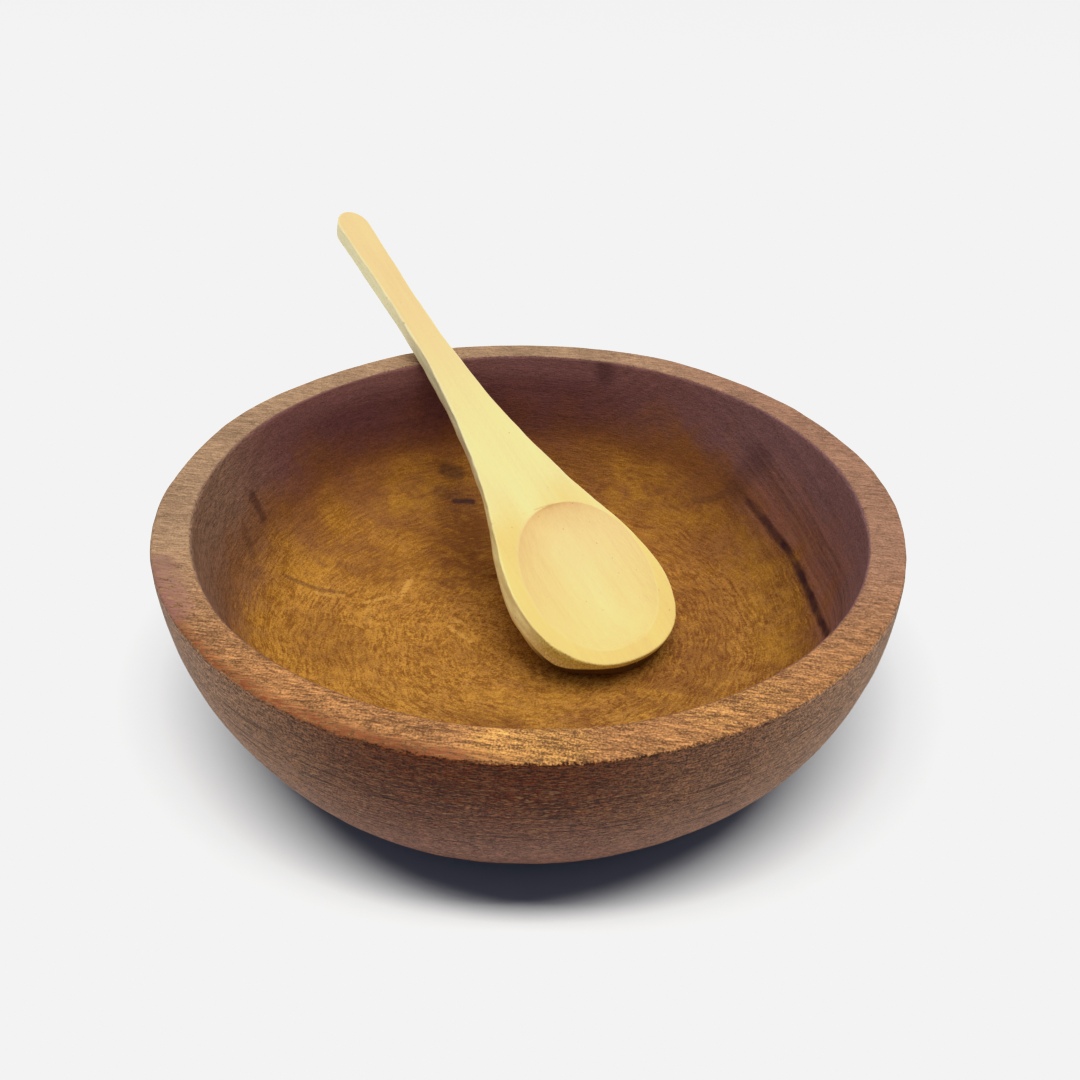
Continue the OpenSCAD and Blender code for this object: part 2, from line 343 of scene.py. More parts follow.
# Depth of the wear on the rim's two edges, and the pitch of its broad and fine bites
BOWL_WEAR, WEAR_PITCH, BITE_PITCH = 0.07 * MM, 9 * MM, 3 * MM
# Wear of the lip, and what torn fibres add at the brink, as shares of the brink's wear
LIP_WEAR, TORN_WEAR = 0.6, 2.5


def bowl_surface(s):
    """The outline turned about the Z axis, moved along its normal by broad and fine ripples that fade to
    nothing at the base, and worn back unevenly along the rim's two edges, most at the front left. Marks
    say where the inside and the rim are."""
    outline, starts = bowl_outline(s)
    around = np.linspace(0, 2 * np.pi, BOWL_STEPS, endpoint=False)
    slope = np.gradient(outline, axis=0)
    slope /= np.linalg.norm(slope, axis=1, keepdims=True)
    r, z = outline[:, :1], outline[:, 1:]
    out_r, out_z = -slope[:, 1:], slope[:, :1]
    cos, sin = np.cos(around), np.sin(around)
    points = np.stack([r * cos, r * sin, z + 0 * cos], -1)
    normal = np.stack([out_r * cos, out_r * sin, out_z + 0 * cos], -1)
    row = np.arange(len(outline))

    def hump(k):
        share = np.clip((row - starts[k]) / (starts[k + 1] - starts[k]), 0, 1)
        return np.sin(np.pi * share)[:, None]

    clear = ease(1 * MM, 6 * MM, z)
    move = BOWL_SWAY * ripple(points, SWAY_PITCH, 1) + BOWL_RIPPLE * ripple(points, RIPPLE_PITCH, 2)
    wear = ease(-0.5, 2.5, ripple(points, WEAR_PITCH, 3) + 0.5 * ripple(points, BITE_PITCH, 4))
    torn = ease(-20 * MM, -45 * MM, points[..., 1]) * ease(10 * MM, -10 * MM, points[..., 0])
    edges = LIP_WEAR * hump(LIP) + hump(BRINK) * (1 + TORN_WEAR * torn)
    move = clear * move - BOWL_WEAR * edges * wear
    inner = np.interp(row, starts[[LIP, RIM]], [1, 0])
    rim = np.interp(row, starts[[LIP, RIM, BRINK, OUTER]], [0, 1, 1, 0])
    marks = {"inner": np.repeat(inner[:, None], BOWL_STEPS, 1), "rim": np.repeat(rim[:, None], BOWL_STEPS, 1)}
    return points + normal * move[..., None], marks


# Spoon


def cubic(start, start_slope, stop, stop_slope, x):
    """Cubic from one point to another with the slopes given there."""
    run = stop[0] - start[0]
    t = (x - start[0]) / run
    ends = start[1] * (1 - t) ** 2 * (1 + 2 * t) + stop[1] * t**2 * (3 - 2 * t)
    return ends + run * t * (1 - t) * (start_slope * (1 - t) - stop_slope * t)


def level_cubics(points, x):
    """Cubics from point to point, level at each, and the last height from there on."""
    spans = list(zip(points, points[1:]))
    return np.select([x < b[0] for a, b in spans], [cubic(a, 0, b, 0, x) for a, b in spans], points[-1][1])


def egg(q, power):
    """Share of an egg's full width at distance q from its middle, where 1 is its end."""
    return np.maximum(1 - np.abs(q) ** power, 0) ** (1 / power)


# Bluntness of the tip and of the scoop's ends, 2 being an ellipse, and the steepness at the neck
TIP_POWER = 2.25
SCOOP_POWER = 2.1
NECK_STEEP = 1.65
# Flat left at the tip, and at the end of the handle and beside the scoop
TIP_FLAT = 1e-5 * MM
BUTT = 0.04 * MM


def half_width(s, x):
    """Half the spoon's width at x: an egg at the tip, cubics through head, neck, grip and end, and a
    round end."""
    slope = NECK_STEEP * (s.grip_w - s.head_w) / 2 / (s.grip_at - s.head_at)
    end_at = s.length - s.end_l
    head, neck = (s.head_at, s.head_w / 2), (s.neck_at, s.neck_w / 2)
    grip, end = (s.grip_at, s.grip_w / 2), (end_at, s.end_w / 2)
    return np.select(
        [x < s.head_at, x < s.neck_at, x < s.grip_at, x < end_at],
        [
            s.head_w / 2 * egg(np.maximum(1 - x / s.head_at, 0), TIP_POWER),
            cubic(head, 0, neck, slope, x),
            cubic(neck, slope, grip, 0, x),
            cubic(grip, 0, end, 0, x),
        ],
        s.end_w / 2 * egg((x - end_at) / s.end_l, 2),
    )


def side_height(s, x):
    """Height of the side face at x, eased from tip to head, neck and grip."""
    head, neck = (s.head_at, s.head_side), (s.neck_at, s.neck_side)
    return level_cubics([(0, s.tip_side), head, neck, (s.grip_at, s.grip_side)], x)


def belly_depth(s, x):
    """Depth of the rounded underside below the side face at x, on the centre line."""
    end_at = s.length - s.end_l
    head, neck = (s.head_at, s.head_belly), (s.neck_at, s.neck_belly)
    tip = s.head_belly * egg(np.maximum(1 - x / s.head_at, 0), 2)
    middle = level_cubics([head, neck, (s.grip_at, s.grip_belly)], x)
    end = s.grip_belly * egg((x - end_at) / s.end_l, 2)
    return np.select([x < s.head_at, x < end_at], [tip, middle], end)


def edge_gap(s, x, y, half):
    """Distance on the flat top from a place to the outline. Round the tip it is (1 - g) over the slope of
    g, where g = (u^p + v^p)^(1/p) is 1 on the egg, and elsewhere the width left over the outline's slant."""
    u, v = np.maximum(1 - x / s.head_at, 0), np.abs(y) / (s.head_w / 2)
    g = np.maximum((u**TIP_POWER + v**TIP_POWER) ** (1 / TIP_POWER), BUTT / s.head_at)
    reach = np.hypot(u ** (TIP_POWER - 1) / s.head_at, v ** (TIP_POWER - 1) / (s.head_w / 2))
    round_tip = (1 - g) / np.maximum(g ** (1 - TIP_POWER) * reach, 1 / s.length)
    steep = np.gradient(half[:, 0], x[:, 0])[:, None]
    along = np.minimum((half - np.abs(y)) / np.hypot(1, steep), s.length - x)
    return np.maximum(np.where(x < s.head_at, round_tip, along), 0)


# Places along the spoon where the chin starts to rise, where it is tallest and where it has gone
CHIN_LOW, CHIN_FULL, CHIN_END = 0.5 * MM, 7 * MM, 17 * MM
# Sharpness of the underside's turn below the side faces, along the spoon and at the chin, 0.5 for an ellipse
UNDER_POWER, CHIN_POWER = 0.5, 0.27
# Share of the way from the chin to the floor that the underside takes up at the tip
CHIN_SHARE = 0.95


def side_edges(s, x):
    """Height of the side face on the left and on the right. Both are low at the tip. The left one rises to
    the cheek and eases from there to the trimmed side of the head, the right one rises to the plain side."""
    plain = side_height(s, x)
    trimmed = plain - s.trim * ease(s.neck_at, s.head_at, x)
    cheek = s.chin + (s.cheek - s.chin) * ease(CHIN_LOW, CHIN_FULL, x)
    left = cheek + (trimmed - cheek) * ease(CHIN_FULL, CHIN_END, x)
    right = s.chin + (plain - s.chin) * ease(0, CHIN_FULL, x)
    return left, right


# Points of one section of the spoon across a lip, the scoop, a side face and the underside
LIP_POINTS, SCOOP_POINTS, SIDE_POINTS, UNDER_POINTS = 14, 41, 7, 34
# Share of the half width that the scoop's points take where there is no scoop
PLAIN_SHARE = 0.4
# How quickly the scoop's depth goes towards its two ends
SCOOP_FADE = 1.5
# Depth of the knife's unevenness, its broad and fine pitch, and the share at which lengths along it count
KNIFE, CUT_PITCH, NICK_PITCH, KNIFE_STRETCH = 0.06 * MM, 5 * MM, 2 * MM, 0.35
# Share of that unevenness that the top keeps
TOP_KNIFE = 0.35


# Sections along the tip, the scoop, the handle and its round end, and how far the scoop's swing goes in degrees
TIP_ROWS, SCOOP_ROWS, HANDLE_ROWS, END_ROWS = 18, 150, 180, 22
SCOOP_SWING = 89


def spoon_sections(s):
    """Places of the sections along the spoon: close at the tip, at the scoop's two ends and at the end of
    the handle, even between them."""
    scoop_end = s.scoop_lip + s.scoop_l
    end_at = s.length - s.end_l
    tip = TIP_FLAT + (s.scoop_lip - TIP_FLAT - BUTT) * np.linspace(0, 1, TIP_ROWS) ** 2
    swing = np.sin(np.radians(np.linspace(-SCOOP_SWING, SCOOP_SWING, SCOOP_ROWS)))
    scoop = s.scoop_lip + s.scoop_l * (1 + swing) / 2
    end = end_at + (s.end_l - BUTT) * np.sin(np.linspace(0, math.pi / 2, END_ROWS)[1:])
    return np.concatenate([tip, scoop, np.linspace(scoop_end, end_at, HANDLE_ROWS), end])


def scoop_hollow(s, x, half):
    """Place across and height of the scoop's points at x. Its depth falls off as 1 - v^2 across and as an
    egg along. Beyond its two ends the points lie flat. Also whether x is in the scoop."""
    scoop_mid = s.scoop_lip + s.scoop_l / 2
    q = (x - scoop_mid) / (s.scoop_l / 2)
    inside = np.abs(q) < 1
    bay = np.where(inside, s.scoop_w / 2 * egg(q, SCOOP_POWER), PLAIN_SHARE * half)
    shift = np.where(inside, s.scoop_shift + (x - scoop_mid) * math.tan(s.scoop_turn), 0)
    v = np.sin(np.linspace(-math.pi / 2, math.pi / 2, SCOOP_POINTS))
    z = np.where(inside, -s.scoop_depth * (1 - v**2) * egg(q, 2) ** SCOOP_FADE, 0)
    return -v * bay - shift, z, inside


IN_SCOOP = slice(LIP_POINTS, LIP_POINTS + SCOOP_POINTS)


def spoon_top(s, x, half):
    """Place across and height of the top's points from left to right: a flat lip with a softened edge, the
    scoop and the other lip. Also the share by which each faces aside, and which are in the scoop."""
    scoop_y, scoop_z, inside = scoop_hollow(s, x, half)
    share = np.linspace(0, 1, LIP_POINTS, endpoint=False) ** 2
    left_y = half + (scoop_y[:, :1] - half) * share
    right_y = (-half + (scoop_y[:, -1:] + half) * share)[:, ::-1]
    y = np.concatenate([left_y, scoop_y, right_y], 1)
    gap = edge_gap(s, x, y, half)
    z = np.sqrt(s.edge**2 - np.maximum(s.edge - gap, 0) ** 2) - s.edge
    z[:, IN_SCOOP] += scoop_z
    hollow = np.zeros_like(y)
    hollow[:, IN_SCOOP] = inside
    return y, z, np.maximum(1 - gap / s.edge, 0), hollow


def spoon_under(s, x, left, right, over):
    """Height of the underside, at share t = over of the way from the right lower edge to the left one. It
    bulges by (4 t (1 - t))^power and stops at the level of the rest. At the chin the bulge takes up most of
    the way down to that level, and behind it the rounded belly's depth."""
    level = s.rest + math.tan(s.tilt) * x
    middle = (left + right) / 2
    belly = np.maximum(side_height(s, x) + belly_depth(s, x) - middle, 0)
    chin_belly = CHIN_SHARE * (level - middle)
    belly = chin_belly + (belly - chin_belly) * ease(CHIN_FULL / 2, CHIN_END, x)
    power = CHIN_POWER + (UNDER_POWER - CHIN_POWER) * ease(CHIN_FULL, CHIN_END, x)
    bulge = (4 * over * (1 - over)) ** power
    return -np.minimum(right + (left - right) * over + belly * bulge, level)


def spoon_surface(s):
    """Closed sections along the spoon: the top, the right side face, the underside and the left side face,
    which leans out along the outline's normal. All are uneven as a knife leaves them, the top the least.
    Marks hold the place on the spoon in millimetres, the scoop, the side faces and the share of the way
    down them, which is from 1.5 to 2 on the underside."""
    x = spoon_sections(s)[:, None]
    half = half_width(s, x)
    top_y, top_z, top_facing, hollow = spoon_top(s, x, half)
    left, right = side_edges(s, x)
    down = np.linspace(0, 1, SIDE_POINTS + 1)[1:]
    up = down[::-1]
    over = (1 - np.cos(np.linspace(0, math.pi, UNDER_POINTS + 2)[1:-1])) / 2
    steep = np.gradient(half[:, 0], x[:, 0])[:, None]
    leaning = ease(CHIN_FULL, CHIN_END, x) * ease(s.neck_at, s.head_at, x)
    flare = s.flare * leaning / np.hypot(1, steep)
    out = np.concatenate([0 * top_y[0], 0 * down, over, up])
    across = [top_y, -half + 0 * down, -half + 2 * half * over, half + 0 * up]
    y = np.concatenate(across, 1) + flare * out
    right_z = -s.edge - (right - s.edge) * down
    left_z = -s.edge - (left - s.edge) * up
    z = np.concatenate([top_z, right_z, spoon_under(s, x, left, right, over), left_z], 1)
    local = np.stack([x - steep * flare * out, y, z], -1)
    rest = np.ones_like(y[:, top_y.shape[1] :])
    facing = np.concatenate([top_facing, rest], 1)
    slim = local * np.array([KNIFE_STRETCH, 1, 1])
    cut = KNIFE * (ripple(slim, CUT_PITCH, 11) + 0.5 * ripple(slim, NICK_PITCH, 12))
    outward = np.stack([0 * y, np.sign(y) * np.minimum(np.abs(y) / half, 1), 0 * y], -1)
    carved = local + outward * (cut * (TOP_KNIFE + (1 - TOP_KNIFE) * facing))[..., None]
    drop = np.concatenate([0 * top_y[0], down, 1.5 + 2 * over * (1 - over), up])
    marks = {
        "place": local / MM,
        "scoop": np.concatenate([hollow, 0 * rest], 1),
        "side": facing,
        "drop": drop + 0 * y,
    }
    return carved, marks


def spoon_seat(s):
    """Where the spoon lies: tilted up about its tip, moved to its seat and turned about the Z axis."""
    lay = Matrix.Translation((-s.reach, -s.offset, s.tip_z)) @ Matrix.Rotation(-s.tilt, 4, "Y")
    return Matrix.Rotation(s.turn, 4, "Z") @ lay


# Shader maths


class Value:
    """A number that varies over a surface: it wraps a socket, and an expression on it adds Math nodes."""

    def __init__(self, finish, socket):
        self.finish = finish
        self.socket = socket

    def math(self, operation, first, second=0.0):
        return self.finish.node("ShaderNodeMath", {"operation": operation}, {0: first, 1: second})

    def __add__(self, other):
        return self.math("ADD", self, other)

    def __sub__(self, other):
        return self.math("SUBTRACT", self, other)

    def __rsub__(self, other):
        return self.math("SUBTRACT", other, self)

    def __mul__(self, other):
        return self.math("MULTIPLY", self, other)

    def __pow__(self, other):
        return self.math("POWER", self, other)

    __radd__ = __add__
    __rmul__ = __mul__

    def size(self):
        return self.math("ABSOLUTE", self)

    def at_most(self, other):
        return self.math("MINIMUM", self, other)

    def at_least(self, other):
        return self.math("MAXIMUM", self, other)


# Mean of a noise node, and the gains that bring its spread to about 1 and a shift to the depth asked for
NOISE_MEAN, NOISE_GAIN, SHIFT_GAIN = 0.5, 10.0, 4
# Step from the noise of one seed to the next along each axis, in grains
SEED_STEP = (7.3, 3.1, 5.7)
# Share of a line's width that is full
LINE_CORE = 0.25


class Finish:
    """A material under construction on one Principled shader."""

    def __init__(self, name, specular):
        self.material = bpy.data.materials.new(name)
        self.material.use_nodes = True
        self.tree = self.material.node_tree
        self.shader = self.tree.nodes["Principled BSDF"]
        self.shader.inputs["Specular IOR Level"].default_value = specular

    def node(self, kind, settings, sockets, out=0):
        """Any node: its settings are set first, then the values or links of its sockets."""
        made = self.tree.nodes.new(kind)
        for key, value in settings.items():
            setattr(made, key, value)
        for key, value in sockets.items():
            if isinstance(value, Value):
                self.tree.links.new(value.socket, made.inputs[key])
            else:
                made.inputs[key].default_value = value
        return Value(self, made.outputs[out])

    def feed(self, socket, value):
        self.tree.links.new(value.socket, self.shader.inputs[socket])

    def vector(self, operation, first, second=(0, 0, 0), third=(0, 0, 0)):
        settings = {"operation": operation}
        return self.node("ShaderNodeVectorMath", settings, {0: first, 1: second, 2: third})

    def measure(self, operation, first, second=(0, 0, 0)):
        settings = {"operation": operation}
        return self.node("ShaderNodeVectorMath", settings, {0: first, 1: second}, out=1)

    def scaled(self, vector, factor):
        return self.node("ShaderNodeVectorMath", {"operation": "SCALE"}, {0: vector, 3: factor})

    def millimetres(self):
        """The place on the piece in millimetres."""
        return self.scaled(self.node("ShaderNodeTexCoord", {}, {}, out=3), 1000.0)

    def part(self, vector, axis):
        return self.node("ShaderNodeSeparateXYZ", {}, {0: vector}, out=axis)

    def turned(self, vector, turn):
        settings = {"vector_type": "POINT"}
        return self.node("ShaderNodeMapping", settings, {"Vector": vector, "Rotation": (0, 0, turn)})

    def mark(self, name, out=2):
        return self.node("ShaderNodeAttribute", {"attribute_name": name}, {}, out=out)

    def ramp(self, value, low, high):
        """0 below low, 1 above high and a smooth step between them."""
        settings = {"interpolation_type": "SMOOTHSTEP"}
        return self.node("ShaderNodeMapRange", settings, {0: value, 1: low, 2: high})

    def grains(self, vector, size, seed):
        """The place counted in grains of the size given along each axis, apart from other seeds' places."""
        shares = tuple(1 / x for x in size)
        return self.vector("MULTIPLY_ADD", vector, shares, tuple(seed * x for x in SEED_STEP))

    def noise(self, vector, size, seed, detail=2.0, rough=0.5, bend=0.0):
        """Noise of mean 0 and spread about 1, whose grains have the size given along each axis."""
        place = self.grains(vector, size, seed)
        sockets = {"Vector": place, "Scale": 1.0, "Detail": detail, "Roughness": rough, "Distortion": bend}
        raw = self.node("ShaderNodeTexNoise", {"noise_dimensions": "3D"}, sockets)
        return (raw - NOISE_MEAN) * NOISE_GAIN

    def mix(self, first, second, share):
        settings = {"data_type": "RGBA", "clamp_factor": True}
        first, second = ((*c, 1.0) if not isinstance(c, Value) else c for c in (first, second))
        return self.node("ShaderNodeMix", settings, {0: share, 6: first, 7: second}, out=2)

    def stroke(self, place, start, stop, width):
        """1 on the line from start to stop, falling to 0 at the width from it."""
        run = Vector(stop) - Vector(start)
        away = self.vector("SUBTRACT", place, start)
        along = self.measure("DOT_PRODUCT", away, tuple(run / run.length_squared)).at_least(0.0).at_most(1.0)
        gap = self.vector("SUBTRACT", away, self.scaled(tuple(run), along))
        return 1 - self.ramp(self.measure("LENGTH", gap), LINE_CORE * width, width)

    def path(self, place, points, width):
        """1 on the line through the points, falling to 0 at the width from it."""
        ends = zip(points, points[1:])
        return reduce(Value.at_least, [self.stroke(place, start, stop, width) for start, stop in ends])

    def strongest(self, place, marks):
        """The strongest of several lines at a place, each given by its points, its width and its strength."""
        return reduce(Value.at_least, [self.path(place, *line) * strength for *line, strength in marks])

    def wobbled(self, vector, size, depth, seed):
        """The place moved about by up to about the depth, in waves of the size given."""
        sockets = {"Vector": self.grains(vector, (size,) * 3, seed), "Scale": 1.0, "Detail": 1.0}
        waves = self.node("ShaderNodeTexNoise", {"noise_dimensions": "3D"}, sockets, out=1)
        shift = self.vector("SUBTRACT", waves, (NOISE_MEAN,) * 3)
        return self.vector("MULTIPLY_ADD", shift, (SHIFT_GAIN * depth,) * 3, vector)

    def bump(self, height, depth):
        """Raises the surface by the height, whose step of 1 is the depth in metres."""
        sockets = {"Strength": 1.0, "Distance": depth, "Height": height}
        self.feed("Normal", self.node("ShaderNodeBump", {}, sockets))


# Finishes


# Marks on the bowl, in millimetres: the points of a line, the width of its soft edge and its strength
LIGHT_MARKS = [
    ([(-33.0, 8.5, 10.7), (-29.0, 10.5, 10.6), (-26.0, 11.8, 10.5)], 0.7, 0.7),
    ([(-26.0, 11.8, 10.5), (-24.8, 16.3, 10.5)], 1.0, 0.8),
    ([(-43.0, 9.4, 11.9), (-37.9, 10.2, 10.9)], 0.7, 0.5),
    ([(-32.2, 7.3, 10.6), (-31.5, 2.3, 10.6)], 1.1, 0.45),
    ([(-15.6, 2.1, 10.0), (-11.3, -1.8, 9.9)], 0.8, 0.7),
    ([(-15.3, 3.6, 10.0), (-13.4, 4.2, 10.0)], 0.7, 0.6),
]
DARK_MARKS = [
    ([(-49.0, 10.1, 15.7), (-44.2, 10.6, 12.4), (-37.6, 11.2, 10.9)], 0.8, 0.4),
    ([(-54.4, 14.2, 31.5), (-53.1, 14.9, 26.0)], 1.8, 0.55),
    ([(-55.2, 8.0, 28.0), (-53.5, 7.0, 23.0)], 2.0, 0.3),
    ([(-20.2, 48.3, 18.5), (-17.3, 48.4, 17.2)], 2.6, 0.6),
    ([(-21.0, 44.3, 14.8), (-17.5, 44.4, 13.8)], 2.6, 0.3),
    ([(-17.6, 43.2, 13.2), (-13.6, 43.8, 12.7)], 1.1, 0.85),
    ([(15.0, 56.6, 42.0), (15.1, 56.0, 39.0)], 3.2, 0.5),
    ([(42.9, 33.8, 23.7), (44.9, 33.2, 29.1), (47.0, 31.7, 33.4)], 4.5, 0.3),
    ([(35.4, 38.3, 18.2), (38.0, 36.7, 19.2), (42.9, 33.8, 23.7)], 1.4, 0.35),
]
# Dark patches of the floor: the second and fifth are the wood's figure, the first, third and fourth are painted
# shade towards the front, the last is a painted shadow beside the spoon's left side
BROWN_PATCHES_AND_PAINTED_SHADE = [
    ([(-41.0, -2.0, 11.2), (-35.0, -7.0, 10.7)], 10.0, 0.4),
    ([(-16.0, -4.0, 10.0), (-9.0, -6.0, 10.0)], 7.0, 0.25),
    ([(-12.0, -26.0, 10.4), (-4.0, -25.0, 10.4)], 6.0, 0.5),
    ([(23.0, -16.0, 10.4), (33.0, -13.0, 10.8), (34.0, 12.0, 10.8)], 8.0, 0.5),
    ([(-40.0, 24.0, 13.0), (-32.0, 19.0, 10.8)], 9.0, 0.5),
    ([(-15.0, 38.0, 11.2), (-16.0, 16.0, 10.2)], 9.0, 0.7),
]
YELLOW_PATCHES = [
    ([(-46.0, 13.0, 13.7), (-44.0, 18.0, 13.7)], 6.0, 0.4),
    ([(-33.0, 38.0, 15.0), (-25.0, 42.5, 15.6)], 6.0, 0.55),
    ([(22.0, 45.0, 16.0), (37.0, 37.5, 18.0)], 8.0, 0.4),
    ([(43.5, 26.0, 16.0), (47.5, 10.0, 14.4), (48.0, -7.0, 14.4)], 7.0, 0.4),
    ([(-7.0, -19.0, 10.1), (7.0, -17.0, 10.1)], 7.0, 0.25),
]
GOLD_PATCHES = [
    ([(-3.0, -61.5, 42.0), (5.0, -61.5, 42.0)], 6.5, 0.8),
    ([(26.0, -55.0, 42.0), (34.0, -50.0, 42.0)], 5.0, 0.35),
]
STAIN_PATCHES = [([(-60.0, -24.0, 42.0), (-54.0, -35.0, 42.0)], 5.0, 0.7)]
# Seam of the right wall, seen along the X axis, and its width
SEAM = [
    (0, 34.8, 22.4),
    (0, 32.1, 23.6),
    (0, 25.8, 22.2),
    (0, 18.9, 21.2),
    (0, 8.9, 20.5),
    (0, 0.1, 20.4),
    (0, -7.1, 21.3),
    (0, -14.7, 24.0),
]
SEAM_WIDTH = 1.3
# Radius of the floor at which strokes round the axis have the length asked for
SWIRL_RADIUS = 36
# Heights from which to which the floor's wood gives way to the wall's, and that to its dark top
WALL_START, WALL_TOP = (12, 26), (23, 36)
# Distances from the axis between which the rim's torn outer edge starts
TORN_EDGE = (62.4, 64.4)


class BowlGrain:
    """Places on the bowl in millimetres and the grains that its parts share. Sizes are in millimetres."""

    def __init__(self, f, turn):
        place = f.millimetres()
        x, y, z = (f.part(place, axis) for axis in range(3))
        fibre = f.turned(place, -turn)
        self.place, self.x, self.y, self.z = place, x, y, z
        self.left = f.ramp(x, -30, -56) * f.ramp(y, 30, 4)
        self.front = f.ramp(y, -12, -52)
        self.drift = f.noise(place, (34, 34, 34), 1, detail=1)
        self.cloud = f.noise(place, (11, 11, 11), 2)
        self.figure = f.noise(fibre, (7, 4, 4), 3, bend=0.6)
        self.curl = f.noise(fibre, (3.6, 2.6, 2.6), 13, detail=3, rough=0.6, bend=0.5)
        self.mottle = f.noise(fibre, (1.3, 0.9, 0.9), 11, rough=0.6, bend=0.4)
        self.weave = f.noise(fibre, (1.7, 0.55, 0.55), 4, rough=0.6, bend=0.7)
        self.strand = f.noise(fibre, (5, 0.5, 0.5), 5, rough=0.65)
        self.dash = f.ramp(f.noise(fibre, (1.7, 0.24, 0.24), 6, detail=1, bend=0.25), 0.1, 1.3)
        self.grit = f.noise(place, (0.3, 0.3, 0.3), 7, detail=1, rough=0.6)
        self.thread = f.noise(place, (1.6, 1.6, 0.18), 14, rough=0.6)
        self.swirl = f.noise(self.round_axis(f), (2.8, 2.8, 0.6), 18, detail=3, rough=0.6, bend=0.5)

    def round_axis(self, f):
        """The place as a turning tool meets it: the direction from the axis, as a point on a circle, and
        the distance from the axis plus the height. Waves move it first, so that strokes bend."""
        flat = f.vector("MULTIPLY", f.wobbled(self.place, 9, 1.2, 18), (1, 1, 0))
        outwards = f.node("ShaderNodeCombineXYZ", {}, {2: f.measure("LENGTH", flat) + self.z})
        circle = (SWIRL_RADIUS, SWIRL_RADIUS, 0)
        return f.vector("MULTIPLY_ADD", f.vector("NORMALIZE", flat), circle, outwards)


def floor_wood(f, g, s):
    """Golden wood with brown figure, fine light and dark strokes that follow the turning, and patches, some of
    them painted shade; painted shade also darkens it towards the right and the back.
    """
    figured = 0.3 * g.figure + 0.35 * g.cloud + 0.5 * g.curl + 0.3 * g.mottle - 0.3 * g.swirl
    # Painted shade: the slope in x and y darkens the floor towards the right and the back
    shade = figured + 0.018 * g.x + 0.006 * g.y + 0.15
    tone = f.mix(s.floor_gold, s.floor_brown, f.ramp(shade, -1.6, 1.8))
    fine = f.ramp(0.5 * g.mottle + 0.8 * g.curl + 0.95 * g.swirl + 0.5 * g.grit, -2.5, 2.5)
    calm = 0.65 + 0.35 * f.ramp(g.y, 36, 6)
    tone = f.mix(tone, s.floor_dark, (1 - fine) * calm * 0.62)
    tone = f.mix(tone, s.floor_light, fine * calm * (0.4 + 0.15 * g.front))
    yellow = f.strongest(g.place, YELLOW_PATCHES) * f.ramp(g.curl + g.figure, 2.5, -1.5)
    tone = f.mix(tone, s.floor_yellow, yellow)
    # Dark patches: partly the wood's figure, partly painted shade towards the front and a painted shadow beside
    # the spoon
    brown = f.strongest(g.place, BROWN_PATCHES_AND_PAINTED_SHADE) * f.ramp(g.curl + g.figure + g.mottle, -2.8, 1.8)
    return f.mix(tone, s.floor_dark, brown)


def growth_lines(f, g, s, tone, on_wall):
    """Nearly level lines of growth: faint all round the wall, with fine threads, most on the left, and
    strong on the right, with pale lines, where they rise towards the front and the back."""
    level = g.z - 0.008 * (g.y - 8.0) ** 2.0 * f.ramp(g.x, 10, 34)
    bent = f.node("ShaderNodeCombineXYZ", {}, {0: g.x, 1: g.y, 2: level + 0.5 * g.drift})
    layer = f.noise(bent, (60, 60, 1.5), 9, rough=0.65)
    line = f.noise(bent, (14, 14, 0.6), 12, detail=1)
    ringed = on_wall * f.ramp(g.x, 38, 48) * f.ramp(level, 36, 26)
    fine = 0.08 * g.grit + 0.05 * g.mottle
    threads = on_wall * (0.07 + 0.13 * g.left) * (g.thread + 0.6 * g.swirl)
    rings = on_wall * 0.05 * layer + 0.12 * ringed * layer + threads
    tone = f.scaled(tone, (1 + fine + rings).at_least(0.3))
    return f.mix(tone, s.rim_pink, f.ramp(line, 0.8, 2.0) * ringed * 0.5)


def inside_marks(f, g, s, tone):
    """The seam of the right wall, the dark marks and the light strokes, all with slightly wavy edges."""
    loose = f.wobbled(g.place, 2.5, 0.2, 15)
    stray = f.vector("MULTIPLY", f.wobbled(g.place, 4.5, 0.25, 16), (0, 1, 1))
    strength = 0.3 + 0.55 * f.ramp(g.y, 32, 16) + 0.1 * g.figure
    seam = f.path(stray, SEAM, SEAM_WIDTH) * strength * f.ramp(g.x, 36, 41)
    tone = f.mix(tone, s.dark, seam.at_least(f.strongest(loose, DARK_MARKS)))
    light = f.strongest(loose, LIGHT_MARKS) * f.ramp(g.mottle + g.grit, -3.2, 0.2)
    return f.mix(tone, s.floor_light, light)


def inside_wood(f, g, s):
    """The floor's wood, then the reddish wall, plum between the seam and the rim, then its dark top, which
    is purple, mauve on the right and olive on the left, with painted shade darkening the back towards the left."""
    deep = g.z + 0.6 * g.figure + 1.8 * g.cloud + 0.6 * g.curl - 2.5 * g.left * f.ramp(g.z, 32, 24)
    on_wall = f.ramp(deep, *WALL_START)
    tone = f.mix(floor_wood(f, g, s), s.wall_brown, on_wall)
    tone = f.mix(tone, s.wall_plum, on_wall * f.ramp(g.x, 40, 50) * f.ramp(g.z, 17, 23) * 0.7)
    tone = f.mix(tone, s.wall_olive, on_wall * g.left * 0.5)
    upper = f.mix(f.mix(s.wall_purple, s.wall_mauve, f.ramp(g.x, 25, 52)), s.wall_olive, g.left)
    tone = f.mix(tone, upper, f.ramp(deep, *WALL_TOP))
    # Painted shade: the back of the inner wall, towards the left, darkened where shade falls
    back = f.ramp(g.y, 22, 42) * f.ramp(g.x, 32, 8) * f.ramp(g.z, 21, 29) * f.ramp(g.z, 40, 35)
    tone = f.mix(tone, s.wall_painted_shade, back * 0.6)
    return inside_marks(f, g, s, growth_lines(f, g, s, tone, on_wall))


